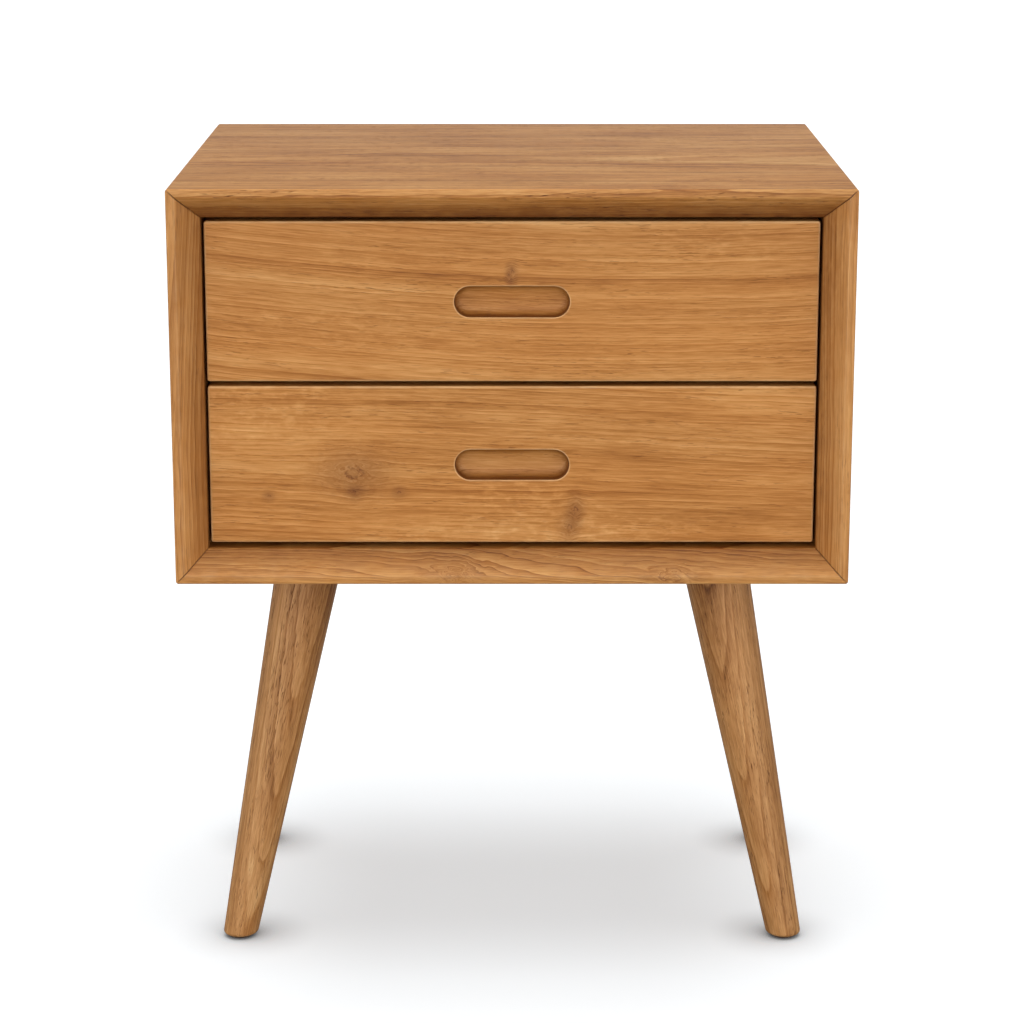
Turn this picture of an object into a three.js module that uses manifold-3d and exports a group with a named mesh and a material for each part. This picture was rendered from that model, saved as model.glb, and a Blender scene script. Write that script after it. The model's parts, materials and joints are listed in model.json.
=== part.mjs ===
// Bedside table with two drawers, on four turned and splayed legs.
// Millimetres. +X is right, +Y is the back and +Z is up, seen by someone facing the drawers.
// The origin is on the floor, under the middle of the case.
import * as THREE from 'three';
import { mergeVertices } from 'three/addons/utils/BufferGeometryUtils.js';
import Module from 'manifold-3d';

const wasm = await Module();
wasm.setup();

// ---------------------------------------------------------------- driving dimensions

// whole object
const WIDTH = 500;
const DEPTH = 400;
const HEIGHT = 610;
const LEG_HEIGHT = 315; // floor to the underside of the case

// case boards, mitred into a frame
const BOARD = 23; // thickness
const FRONT_STRIP = 6.5; // flat strip on the front edge, outside the bevel
const BEVEL_DEPTH = 18; // how far back the bevel runs before it meets the inside face
const CORNER_RADIUS = 2.5; // eased outside corners
const EDGE_RADIUS = 1.5; // eased outside front edge

// loose splines in the mitres
const SPLINE_WIDTH = 16;
const SPLINE_THICKNESS = 4;
const SPLINE_FROM_INSIDE = 10.5; // inside face of a board to the middle of the spline
const SPLINE_STOP_FRONT = 34; // from the front edge to the end of the slot
const SPLINE_STOP_BACK = 30;

// back panel
const BACK_THICKNESS = 8;
const REBATE_WIDTH = 9; // bite taken out of each board's thickness
const BACK_INSET = 1; // back panel to the rear edge of the boards

// legs
const LEG_TOP_DIAMETER = 52.5;
const LEG_FOOT_DIAMETER = 26.8;
const FOOT_CHAMFER = 2;
const FOOT_INSET_X = 33; // middle of the foot to the side of the case
const FOOT_INSET_Y = 90; // middle of the foot to the front or rear of the case
const LEG_TOP_SPACING_X = 312; // between the middles of the legs, at the case
const LEG_TOP_SPACING_Y = 140;

// leg fixings
const BOLT_DIAMETER = 8;
const BOLT_IN_LEG = 50;
const BOLT_IN_INSERT = 14;
const INSERT_DIAMETER = 12;
const INSERT_LENGTH = 14;
const INSERT_RECESS = 2.5; // below the underside, measured along the leg's axis
const INSERT_ROOM = 1.5; // bore left empty past the insert

// glides under the feet
const GLIDE_DIAMETER = 19;
const GLIDE_THICKNESS = 2;

// drawer faces
const FACE_THICKNESS = 22;
const FACE_RECESS = 22; // front of the case to the front of the faces
const FACE_SIDE_GAP = 2;
const FACE_GAP = 3.5; // above, between and below the faces
const FACE_EDGE_RADIUS = 1.8;

// finger pulls
const PULL_WIDTH = 85;
const PULL_HEIGHT = 23;
const PULL_DEPTH = 11;
const PULL_COVE = 6;

// drawer boxes
const BOX_BOARD = 12;
const BOX_BELOW_TOP = 14; // top of the face to the top of the box
const BOX_ABOVE_BASE = 10; // foot of the face to the foot of the box
const BOX_REAR_SPACE = 7; // box to the back panel
const BOX_BASE_THICKNESS = 6;
const BOX_BASE_RAISE = 9; // foot of the box to its base panel
const GROOVE_DEPTH = 6;
const GROOVE_CLEARANCE = 0.3;
const TAILS = 3;
const TAIL_WIDTH = 17; // at the wide end
const TAIL_SLOPE = 1.6; // how much narrower each side of a tail is at its root

// screws through the box front into the face
const SCREW_DIAMETER = 4;
const SCREW_HEAD = 8;
const SCREW_HEAD_HEIGHT = 2.6;
const SCREW_IN_FACE = 9;
const SCREW_FROM_MIDDLE = 130;

// ball-bearing slides
const SLIDE_SPACE = 12.7; // case to drawer box
const SLIDE_HEIGHT = 35;
const SLIDE_SHEET = 1.2;
const SLIDE_SETBACK = 2; // back of the face to the front of the slide
const SLIDE_REAR_SPACE = 45; // rear of the slide to the back panel
const INNER_HEIGHT = 24;
const CHANNEL_END_SPACE = 2.4; // free edge of each channel to the other's web
const CAGE_LENGTH = 70;
const CAGE_SHEET = 0.8;
const CAGE_END = 2.5; // cage to the front of the outer channel, drawer fully open
const SLIDE_TRAVEL = 225;

// clearances
const GAP = 0.3; // between pieces that are glued, screwed or laid together
const BORE_GAP = 0.3; // round a bolt, a screw or an insert

// ---------------------------------------------------------------- sizes that follow

const caseFront = -DEPTH / 2;
const caseBack = DEPTH / 2;
const openingWidth = WIDTH - 2 * BOARD;
const openingBase = LEG_HEIGHT + BOARD;
const openingTop = HEIGHT - BOARD;
const backFront = caseBack - BACK_INSET - BACK_THICKNESS; // front of the back panel

const faceWidth = openingWidth - 2 * FACE_SIDE_GAP;
const faceHeight = (openingTop - openingBase - 3 * FACE_GAP) / 2;
const faceFront = caseFront + FACE_RECESS;
const faceBack = faceFront + FACE_THICKNESS;

const boxWidth = openingWidth - 2 * SLIDE_SPACE;
const boxHeight = faceHeight - BOX_BELOW_TOP - BOX_ABOVE_BASE;
const boxFront = faceBack + GAP;
const boxBack = backFront - BOX_REAR_SPACE;

const slideFront = faceBack + SLIDE_SETBACK;
const slideBack = backFront - SLIDE_REAR_SPACE;
const cageFront = slideFront + CAGE_END + SLIDE_TRAVEL / 2;

// ---------------------------------------------------------------- finishes

const finish = {
  wood: { color: 0xb9824c, roughness: 0.55, metalness: 0 },
  plainWood: { color: 0xc79a66, roughness: 0.65, metalness: 0 },
  ply: { color: 0xcaa878, roughness: 0.7, metalness: 0 },
  steel: { color: 0xb4b6b8, roughness: 0.35, metalness: 1 },
  brass: { color: 0xc9a24f, roughness: 0.35, metalness: 1 },
  felt: { color: 0x4a3524, roughness: 0.95, metalness: 0 },
};

// ---------------------------------------------------------------- solids

function solid(geometry) {
  const bare = geometry.index ? geometry.toNonIndexed() : geometry.clone();
  bare.deleteAttribute('normal');
  bare.deleteAttribute('uv');
  const merged = mergeVertices(bare, 1e-4);
  const corners = merged.index.array;
  const kept = [];
  for (let i = 0; i < corners.length; i += 3) {
    const [a, b, c] = [corners[i], corners[i + 1], corners[i + 2]];
    if (a !== b && b !== c && c !== a) {
      kept.push(a, b, c);
    }
  }
  const vertProperties = Float32Array.from(merged.attributes.position.array);
  const triVerts = Uint32Array.from(kept);
  return new wasm.Manifold(new wasm.Mesh({ numProp: 3, vertProperties, triVerts }));
}

function part(parent, name, look, body) {
  const result = body.getMesh();
  const geometry = new THREE.BufferGeometry();
  const positions = Float32Array.from(result.vertProperties);
  geometry.setAttribute('position', new THREE.BufferAttribute(positions, 3));
  geometry.setIndex(new THREE.BufferAttribute(Uint32Array.from(result.triVerts), 1));
  geometry.computeVertexNormals();
  const mesh = new THREE.Mesh(geometry, new THREE.MeshStandardMaterial(look));
  mesh.name = name;
  parent.add(mesh);
  return mesh;
}

function block(low, high) {
  const size = high.map((value, i) => value - low[i]);
  const middle = high.map((value, i) => (value + low[i]) / 2);
  return solid(new THREE.BoxGeometry(...size).translate(...middle));
}

// An outline given as [x, z] pairs, run from one y to another.
function prismAlongY(outline, from, to) {
  const shape = new THREE.Shape(outline.map(([x, z]) => new THREE.Vector2(x, z)));
  const geometry = new THREE.ExtrudeGeometry(shape, { depth: to - from, bevelEnabled: false });
  return solid(geometry.rotateX(Math.PI / 2).translate(0, to, 0));
}

// An outline given as [y, z] pairs, run from one x to another.
function prismAlongX(outline, from, to) {
  const shape = new THREE.Shape(outline.map(([y, z]) => new THREE.Vector2(y, z)));
  const geometry = new THREE.ExtrudeGeometry(shape, { depth: to - from, bevelEnabled: false });
  const axes = new THREE.Matrix4().makeBasis(
    new THREE.Vector3(0, 1, 0),
    new THREE.Vector3(0, 0, 1),
    new THREE.Vector3(1, 0, 0),
  );
  return solid(geometry.applyMatrix4(axes).translate(from, 0, 0));
}

// A rod or cone along a line that starts at a point and runs in a direction.
function rod(start, direction, from, to, startRadius, endRadius, sides) {
  const geometry = new THREE.CylinderGeometry(endRadius, startRadius, to - from, sides);
  geometry.translate(0, (from + to) / 2, 0);
  const up = new THREE.Vector3(0, 1, 0);
  geometry.applyQuaternion(new THREE.Quaternion().setFromUnitVectors(up, direction));
  return solid(geometry.translate(start.x, start.y, start.z));
}

function arc(centreX, centreY, radius, fromAngle, toAngle, steps) {
  return Array.from({ length: steps + 1 }, (_, i) => {
    const angle = THREE.MathUtils.degToRad(fromAngle + ((toAngle - fromAngle) * i) / steps);
    return [centreX + radius * Math.cos(angle), centreY + radius * Math.sin(angle)];
  });
}

// ---------------------------------------------------------------- case

const table = new THREE.Group();
const caseGroup = new THREE.Group();
table.add(caseGroup);

// A case board in its own frame: x along its length, y from the front edge to the rear edge and
// z from the outside face to the inside face. Its ends are cut to 45 degrees.
function caseBoard(length) {
  const section = [
    ...arc(EDGE_RADIUS, EDGE_RADIUS, EDGE_RADIUS, 270, 180, 3),
    [0, FRONT_STRIP],
    [BEVEL_DEPTH, BOARD],
    [DEPTH - BACK_INSET - BACK_THICKNESS, BOARD],
    [DEPTH - BACK_INSET - BACK_THICKNESS, BOARD - REBATE_WIDTH],
    [DEPTH, BOARD - REBATE_WIDTH],
    [DEPTH, 0],
  ];
  const half = length / 2;
  const slant = (GAP / 2) * Math.SQRT2; // half the mitre's gap, measured along the board
  const easedEnd = arc(half - CORNER_RADIUS, CORNER_RADIUS, CORNER_RADIUS, 270, 315, 3);
  const mitre = [...easedEnd.map(([x, z]) => [x - slant, z]), [half - BOARD - slant, BOARD]];
  const outline = [...mitre, ...mitre.map(([x, z]) => [-x, z]).reverse()];
  const run = prismAlongX(section, -half, half);
  let board = run.intersect(prismAlongY(outline, -1, DEPTH + 1));
  for (const end of [-1, 1]) {
    board = board.subtract(splineShape(GAP, end * (half - BOARD + SPLINE_FROM_INSIDE), end));
  }
  return board;
}

// A spline, or the slot for one, in the frame of a case board. It lies across the mitre.
function splineShape(room, x, end) {
  const width = SPLINE_WIDTH + 2 * room;
  const length = DEPTH - SPLINE_STOP_FRONT - SPLINE_STOP_BACK + 2 * room;
  const geometry = new THREE.BoxGeometry(width, length, SPLINE_THICKNESS + 2 * room);
  geometry.rotateY((-end * Math.PI) / 4);
  const middle = (SPLINE_STOP_FRONT + DEPTH - SPLINE_STOP_BACK) / 2;
  return solid(geometry.translate(x, middle, BOARD - SPLINE_FROM_INSIDE));
}

const caseHeight = HEIGHT - LEG_HEIGHT;
const caseMiddle = LEG_HEIGHT + caseHeight / 2;
const quarter = Math.PI / 2;

function placeBoard(name, board, x, z, turns) {
  const mesh = part(caseGroup, name, finish.wood, board);
  mesh.position.set(x, caseFront, z);
  mesh.rotation.y = turns * quarter;
}

// Leg axes, from the middle of the foot on the floor to the middle of the leg at the case.
const corners = [];
for (const [depthName, sideY] of [['front', -1], ['back', 1]]) {
  for (const [sideName, sideX] of [['left', -1], ['right', 1]]) {
    const foot = new THREE.Vector3(
      sideX * (WIDTH / 2 - FOOT_INSET_X),
      sideY * (DEPTH / 2 - FOOT_INSET_Y),
      0,
    );
    const top = new THREE.Vector3(
      (sideX * LEG_TOP_SPACING_X) / 2,
      (sideY * LEG_TOP_SPACING_Y) / 2,
      LEG_HEIGHT,
    );
    const direction = top.clone().sub(foot).normalize();
    corners.push({ name: `${depthName}_${sideName}`, foot, top, direction });
  }
}

placeBoard('top_panel', caseBoard(WIDTH), 0, HEIGHT, 2);
placeBoard('side_panel_left', caseBoard(caseHeight), -WIDTH / 2, caseMiddle, 1);
placeBoard('side_panel_right', caseBoard(caseHeight), WIDTH / 2, caseMiddle, -1);

let bottomBoard = caseBoard(WIDTH);
for (const { top, direction } of corners) {
  const boreStart = new THREE.Vector3(top.x, top.y - caseFront, 0);
  const boreRadius = INSERT_DIAMETER / 2 + BORE_GAP;
  const boreEnd = INSERT_RECESS + INSERT_LENGTH + INSERT_ROOM;
  const bore = rod(boreStart, direction, -INSERT_DIAMETER, boreEnd, boreRadius, boreRadius, 20);
  bottomBoard = bottomBoard.subtract(bore);
}
placeBoard('bottom_panel', bottomBoard, 0, LEG_HEIGHT, 0);

// The four splines lie in the frames of the top and bottom boards.
for (const [level, height, turn] of [['top', HEIGHT, Math.PI], ['bottom', LEG_HEIGHT, 0]]) {
  for (const [side, sign] of [['left', -1], ['right', 1]]) {
    const end = turn ? -sign : sign;
    const x = end * (WIDTH / 2 - BOARD + SPLINE_FROM_INSIDE);
    const spline = part(caseGroup, `spline_${level}_${side}`, finish.plainWood, splineShape(0, x, end));
    spline.position.set(0, caseFront, height);
    spline.rotation.y = turn;
  }
}

const backHalf = openingWidth / 2 + REBATE_WIDTH - GAP;
part(caseGroup, 'back_panel', finish.ply, block(
  [-backHalf, backFront + GAP, openingBase - REBATE_WIDTH + GAP],
  [backHalf, backFront + BACK_THICKNESS, openingTop + REBATE_WIDTH - GAP],
));

// ---------------------------------------------------------------- legs

const legBase = GLIDE_THICKNESS + GAP;
const boltBore = BOLT_DIAMETER / 2 + BORE_GAP;
const insertEnd = INSERT_RECESS + INSERT_LENGTH;
const upright = new THREE.Vector3(0, 0, 1);

// A turned cone along the leg's axis, cut level over the glide and under the case, with its
// foot chamfered all round and a bore for the hanger bolt down its middle.
function leg({ foot, top, direction, footMiddle }) {
  const axisLength = top.distanceTo(foot);
  const spare = LEG_TOP_DIAMETER; // past each end, cut off again
  const radiusAt = (along) =>
    THREE.MathUtils.lerp(LEG_FOOT_DIAMETER, LEG_TOP_DIAMETER, along / axisLength) / 2;
  const from = -spare / 2;
  const to = axisLength + spare;
  const cone = rod(foot, direction, from, to, radiusAt(from), radiusAt(to), 40);
  const level = block(
    [Math.min(foot.x, top.x) - spare, Math.min(foot.y, top.y) - spare, legBase],
    [Math.max(foot.x, top.x) + spare, Math.max(foot.y, top.y) + spare, LEG_HEIGHT - GAP],
  );
  const chamferRadius = LEG_FOOT_DIAMETER / 2 - FOOT_CHAMFER;
  const chamferRun = LEG_HEIGHT + spare;
  const chamfer = rod(footMiddle, upright, 0, chamferRun, chamferRadius, chamferRadius + chamferRun, 40);
  const boreBase = -BOLT_IN_LEG - BORE_GAP;
  const bore = rod(top, direction, boreBase, LEG_TOP_DIAMETER, boltBore, boltBore, 16);
  return cone.intersect(level).intersect(chamfer).subtract(bore);
}

function legInsert({ top, direction }) {
  const radius = INSERT_DIAMETER / 2;
  return rod(top, direction, INSERT_RECESS, insertEnd, radius, radius, 20)
    .subtract(rod(top, direction, 0, insertEnd + INSERT_ROOM, boltBore, boltBore, 16));
}

function legBolt({ top, direction }) {
  const radius = BOLT_DIAMETER / 2;
  return rod(top, direction, -BOLT_IN_LEG, INSERT_RECESS + BOLT_IN_INSERT, radius, radius, 16);
}

const glide = rod(
  new THREE.Vector3(),
  upright,
  0,
  GLIDE_THICKNESS,
  GLIDE_DIAMETER / 2,
  GLIDE_DIAMETER / 2,
  24,
);

for (const corner of corners) {
  const { name, foot, direction } = corner;
  corner.footMiddle = foot.clone().addScaledVector(direction, legBase / direction.z);
  part(caseGroup, `leg_${name}`, finish.wood, leg(corner));
  part(caseGroup, `leg_bolt_${name}`, finish.steel, legBolt(corner));
  part(caseGroup, `leg_insert_${name}`, finish.brass, legInsert(corner));
  part(caseGroup, `foot_glide_${name}`, finish.felt, glide)
    .position.set(corner.footMiddle.x, corner.footMiddle.y, 0);
}

// ---------------------------------------------------------------- drawer faces

// A rectangle with full half-round ends, centred on the origin.
function stadium(width, height) {
  const radius = height / 2;
  const shape = new THREE.Shape();
  shape.absarc(width / 2 - radius, 0, radius, -quarter, quarter, false);
  shape.absarc(radius - width / 2, 0, radius, quarter, 3 * quarter, false);
  return shape;
}

// Extrudes a shape drawn in x and z. The front, at the given y, is rounded over.
function roundedFront(shape, y, depth, radius, segments, curveSegments) {
  const geometry = new THREE.ExtrudeGeometry(shape, {
    depth: depth - 2 * radius,
    bevelThickness: radius,
    bevelSize: radius,
    bevelOffset: -radius,
    bevelSegments: segments,
    curveSegments,
  });
  return solid(geometry.rotateX(quarter).translate(0, y + depth - radius, 0));
}

function drawerFace() {
  const shape = new THREE.Shape();
  const halfWidth = faceWidth / 2;
  const halfHeight = faceHeight / 2;
  const radius = FACE_EDGE_RADIUS;
  shape.absarc(halfWidth - radius, halfHeight - radius, radius, 0, quarter, false);
  shape.absarc(radius - halfWidth, halfHeight - radius, radius, quarter, 2 * quarter, false);
  shape.absarc(radius - halfWidth, radius - halfHeight, radius, 2 * quarter, 3 * quarter, false);
  shape.absarc(halfWidth - radius, radius - halfHeight, radius, 3 * quarter, 4 * quarter, false);
  const slab = roundedFront(shape, faceFront, FACE_THICKNESS, radius * 0.9, 2, 3);
  const pocketDepth = PULL_DEPTH + 2 * PULL_COVE;
  const pocket = roundedFront(
    stadium(PULL_WIDTH, PULL_HEIGHT),
    faceFront + PULL_DEPTH - pocketDepth,
    pocketDepth,
    PULL_COVE,
    4,
    10,
  );
  return slab.subtract(pocket);
}

// ---------------------------------------------------------------- drawer boxes

// The dovetails of one drawer side at one end, or the sockets for them.
function tails(sign, y, outward, room) {
  const pitch = boxHeight / TAILS;
  const outer = (sign * boxWidth) / 2;
  const near = outer - sign * BOX_BOARD;
  const tip = y + outward * (BOX_BOARD + room);
  const root = y - outward * 2 * GAP; // inside the board that the tails grow from
  return Array.from({ length: TAILS }, (_, i) => {
    const middle = (i + 0.5) * pitch - boxHeight / 2;
    const wide = TAIL_WIDTH / 2 + room;
    const outline = [
      [root, middle - wide + TAIL_SLOPE],
      [tip, middle - wide],
      [tip, middle + wide],
      [root, middle + wide - TAIL_SLOPE],
    ];
    const turned = outward > 0 ? outline : outline.reverse();
    return prismAlongX(turned, Math.min(near, outer) - room, Math.max(near, outer) + room);
  });
}

function boxPieces() {
  const half = boxWidth / 2;
  const low = -boxHeight / 2;
  const high = boxHeight / 2;
  const innerFront = boxFront + BOX_BOARD;
  const innerBack = boxBack - BOX_BOARD;
  const baseLow = low + BOX_BASE_RAISE;
  const bite = GROOVE_DEPTH - GROOVE_CLEARANCE;
  const basePanel = (room) => block(
    [-half + BOX_BOARD - bite - room, innerFront - bite - room, baseLow - room],
    [half - BOX_BOARD + bite + room, innerBack + bite + room, baseLow + BOX_BASE_THICKNESS + room],
  );
  const pieces = {
    box_front: block([-half, boxFront, low], [half, innerFront, high]),
    box_back: block([-half, innerBack, low], [half, boxBack, high]),
    base: basePanel(0),
  };
  for (const [side, sign] of [['left', -1], ['right', 1]]) {
    const outer = sign * half;
    const inner = outer - sign * BOX_BOARD;
    let board = block(
      [Math.min(inner, outer), innerFront + GAP, low],
      [Math.max(inner, outer), innerBack - GAP, high],
    );
    for (const [name, y, outward] of [['box_front', innerFront, -1], ['box_back', innerBack, 1]]) {
      for (const tail of tails(sign, y, outward, 0)) {
        board = board.add(tail);
      }
      for (const socket of tails(sign, y, outward, GAP)) {
        pieces[name] = pieces[name].subtract(socket);
      }
    }
    pieces[`box_side_${side}`] = board.subtract(basePanel(GROOVE_CLEARANCE));
  }
  pieces.box_front = pieces.box_front.subtract(basePanel(GROOVE_CLEARANCE));
  pieces.box_back = pieces.box_back.subtract(basePanel(GROOVE_CLEARANCE));
  return pieces;
}

// A countersunk screw from inside the box, through its front and into the face. With room
// round it, this is its hole, which also opens the surface over the head.
function faceScrew(x, room) {
  const start = new THREE.Vector3(x, boxFront + BOX_BOARD, 0);
  const forward = new THREE.Vector3(0, -1, 0);
  const shank = SCREW_DIAMETER / 2 + room;
  const head = SCREW_HEAD / 2 + room;
  const sides = 14;
  const screw = rod(start, forward, GAP, BOX_BOARD + SCREW_IN_FACE + room, shank, shank, sides)
    .add(rod(start, forward, GAP, SCREW_HEAD_HEIGHT, head, shank, sides));
  return room ? screw.add(rod(start, forward, -GAP, GAP, head, head, sides)) : screw;
}

// ---------------------------------------------------------------- slides

// A folded channel. Its web is at x = 0 and its two flanges reach towards +x or -x.
function channel(opens, height, reach, sheet, from, to) {
  const half = height / 2;
  const outline = [
    [0, -half],
    [reach, -half],
    [reach, -half + sheet],
    [sheet, -half + sheet],
    [sheet, half - sheet],
    [reach, half - sheet],
    [reach, half],
    [0, half],
  ].map(([x, z]) => [opens * x, z]);
  return prismAlongY(opens > 0 ? outline : outline.reverse(), from, to);
}

const channelReach = SLIDE_SPACE - 2 * GAP - CHANNEL_END_SPACE;
const raceSpace = (SLIDE_HEIGHT - INNER_HEIGHT) / 2 - SLIDE_SHEET; // where the balls run
const cageHeight = INNER_HEIGHT + raceSpace + CAGE_SHEET;
const cageReach = channelReach - 2 * SLIDE_SHEET;

// ---------------------------------------------------------------- the two drawers

const levels = [
  ['lower', openingBase + FACE_GAP + faceHeight / 2],
  ['upper', openingBase + 2 * FACE_GAP + faceHeight * 1.5],
];

for (const [level, faceMiddle] of levels) {
  const boxMiddle = faceMiddle + (BOX_ABOVE_BASE - BOX_BELOW_TOP) / 2;

  const faceGroup = new THREE.Group();
  faceGroup.position.z = faceMiddle;
  table.add(faceGroup);

  const boxGroup = new THREE.Group();
  boxGroup.position.z = boxMiddle;
  table.add(boxGroup);

  let face = drawerFace();
  const pieces = boxPieces();
  for (const [side, sign] of [['left', -1], ['right', 1]]) {
    const x = sign * SCREW_FROM_MIDDLE;
    const hole = faceScrew(x, BORE_GAP);
    pieces.box_front = pieces.box_front.subtract(hole);
    face = face.subtract(hole.translate([0, 0, boxMiddle - faceMiddle]));
    part(boxGroup, `face_screw_${level}_${side}`, finish.steel, faceScrew(x, 0));
  }
  part(faceGroup, `drawer_face_${level}`, finish.wood, face);
  for (const [name, body] of Object.entries(pieces)) {
    const look = name === 'base' ? finish.ply : finish.plainWood;
    part(boxGroup, `drawer_${name}_${level}`, look, body);
  }

  for (const [side, sign] of [['left', -1], ['right', 1]]) {
    const wall = (sign * openingWidth) / 2 - sign * GAP;
    const members = {
      outer: [wall, channel(-sign, SLIDE_HEIGHT, channelReach, SLIDE_SHEET, slideFront, slideBack)],
      cage: [
        wall - sign * (SLIDE_SHEET + GAP),
        channel(-sign, cageHeight, cageReach, CAGE_SHEET, cageFront, cageFront + CAGE_LENGTH),
      ],
      inner: [
        sign * (boxWidth / 2 + GAP),
        channel(sign, INNER_HEIGHT, channelReach, SLIDE_SHEET, slideFront, slideBack),
      ],
    };
    for (const [member, [x, body]] of Object.entries(members)) {
      part(boxGroup, `slide_${member}_${level}_${side}`, finish.steel, body).position.x = x;
    }
  }
}

export default table;
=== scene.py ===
import json
import math

import bmesh
import bpy
from mathutils import Matrix, Vector

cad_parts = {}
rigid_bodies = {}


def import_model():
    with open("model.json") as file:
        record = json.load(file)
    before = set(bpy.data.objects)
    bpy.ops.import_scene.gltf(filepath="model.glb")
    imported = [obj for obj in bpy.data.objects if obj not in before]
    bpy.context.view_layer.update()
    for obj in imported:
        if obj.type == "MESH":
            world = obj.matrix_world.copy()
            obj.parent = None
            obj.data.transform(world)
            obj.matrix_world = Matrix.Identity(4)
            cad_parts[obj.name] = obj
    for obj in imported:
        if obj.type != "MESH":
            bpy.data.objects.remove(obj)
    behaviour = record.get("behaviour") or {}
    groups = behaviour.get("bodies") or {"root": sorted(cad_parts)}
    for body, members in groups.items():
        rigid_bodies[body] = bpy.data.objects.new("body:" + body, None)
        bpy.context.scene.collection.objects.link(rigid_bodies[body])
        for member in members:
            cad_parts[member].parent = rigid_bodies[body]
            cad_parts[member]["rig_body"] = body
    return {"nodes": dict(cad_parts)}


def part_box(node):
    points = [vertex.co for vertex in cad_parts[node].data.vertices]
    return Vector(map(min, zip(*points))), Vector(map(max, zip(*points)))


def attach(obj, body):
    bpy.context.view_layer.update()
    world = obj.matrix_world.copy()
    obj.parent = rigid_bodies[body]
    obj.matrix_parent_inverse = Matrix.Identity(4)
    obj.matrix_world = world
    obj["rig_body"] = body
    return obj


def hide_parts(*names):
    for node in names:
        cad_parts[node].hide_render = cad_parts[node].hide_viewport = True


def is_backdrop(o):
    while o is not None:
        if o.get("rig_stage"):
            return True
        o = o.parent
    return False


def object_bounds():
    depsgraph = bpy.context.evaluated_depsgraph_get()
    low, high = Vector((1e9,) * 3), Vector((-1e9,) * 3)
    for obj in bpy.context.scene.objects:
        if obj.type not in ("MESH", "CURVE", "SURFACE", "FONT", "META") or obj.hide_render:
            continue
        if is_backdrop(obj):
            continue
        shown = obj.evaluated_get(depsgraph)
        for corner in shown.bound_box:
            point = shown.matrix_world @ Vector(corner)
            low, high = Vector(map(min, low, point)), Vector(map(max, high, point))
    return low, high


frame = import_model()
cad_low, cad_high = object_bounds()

# ---------------------------------------------------------------- camera
# A long lens a little above the top, square on to the drawers, so that the top shows as a
# shallow trapezoid and both sides are hidden.
camera_distance, camera_height, look_down = 2.127, 0.908, 14.18
camera = bpy.data.objects.new("camera", bpy.data.cameras.new("camera"))
bpy.context.collection.objects.link(camera)
camera.data.lens = 104.4
camera.data.clip_end = 60
camera.location = (0, cad_low.y - camera_distance, camera_height)
camera.rotation_euler = (math.radians(90 - look_down), 0, 0)
bpy.context.scene.camera = camera
bpy.context.scene.view_settings.view_transform = "Standard"

# ---------------------------------------------------------------- case boards
# Top, bottom and sides are solid teak, 23 mm thick, glued up from staves and mitred at the
# corners. Each front edge has a flat strip and then a bevel that runs back to the drawers.
# All edges are eased by hand, and the finish is a thin satin oil.
strip, bevel_depth = 0.0065, 0.018
rebate_depth, rebate_width = 0.009, 0.009
corner_radius, mitre_gap, mitre_ease = 0.0025, 0.0002, 0.0007
# Board edge marks: the width of the paler band of rubbed wear and painted highlight, the dark mitre joint
# line, and the painted shade down each bevel.
wear_and_highlight_width, mitre_dirt, bevel_painted_shade = 0.002, 1.2, 0.8
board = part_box("top_panel")[1].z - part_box("top_panel")[0].z
depth = cad_high.y - cad_low.y


def rounded(corners, radii):
    """The closed outline through the corners, with each corner turned into an arc."""
    steps, outline = 6, []
    for i, (corner, radius) in enumerate(zip(corners, radii)):
        here = Vector(corner)
        back = (Vector(corners[i - 1]) - here).normalized()
        ahead = (Vector(corners[(i + 1) % len(corners)]) - here).normalized()
        if radius == 0:
            outline.append(here)
            continue
        half = back.angle(ahead) / 2
        centre = here + (back + ahead).normalized() * (radius / math.sin(half))
        start = here + back * (radius / math.tan(half)) - centre
        end = here + ahead * (radius / math.tan(half)) - centre
        turn = start.angle(end)
        for k in range(steps + 1):
            a, b = math.sin(turn * (1 - k / steps)), math.sin(turn * k / steps)
            outline.append(centre + (start * a + end * b) / math.sin(turn))
    return outline


def loft(bm, rings, wear=None, painted_shade_and_joint_line=None, capped=True):
    """Closes rings of points into a skin. Each ring gets two marks from 0 to 1: a paler one for rubbed wear
    and painted highlight, and a darker one for painted shade and joint lines.
    """
    for name in ("wear", "painted_shade_and_joint_line"):
        if name not in bm.verts.layers.float:
            bm.verts.layers.float.new(name)
    marks = [(bm.verts.layers.float[name], values) for name, values in (("wear", wear), ("painted_shade_and_joint_line", painted_shade_and_joint_line))]
    loops = []
    for k, ring in enumerate(rings):
        loop = [bm.verts.new(point) for point in ring]
        for layer, values in marks:
            for vert in loop:
                vert[layer] = values[k] if values else 0
        loops.append(loop)
    for one, two in zip(loops, loops[1:]):
        for i in range(len(one)):
            bm.faces.new((one[i - 1], one[i], two[i], two[i - 1]))
    if capped:
        bm.faces.new(loops[0])
        bm.faces.new(loops[-1])
    return loops


def make_piece(bm, name, material, body, node=None):
    """Finishes a mesh: welded, facing out, smooth between its real edges, and on its body."""
    sharp = math.radians(35)
    bmesh.ops.remove_doubles(bm, verts=bm.verts, dist=1e-6)
    bmesh.ops.dissolve_degenerate(bm, edges=bm.edges, dist=1e-7)
    bmesh.ops.recalc_face_normals(bm, faces=bm.faces)
    for face in bm.faces:
        face.smooth = True
    for edge in bm.edges:
        edge.smooth = len(edge.link_faces) == 2 and edge.calc_face_angle() < sharp
    mesh = bpy.data.meshes.new(name)
    bm.to_mesh(mesh)
    bm.free()
    mesh.materials.append(material)
    piece = bpy.data.objects.new(name, mesh)
    bpy.context.collection.objects.link(piece)
    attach(piece, body)
    if node:
        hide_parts(node)
    return piece


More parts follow.
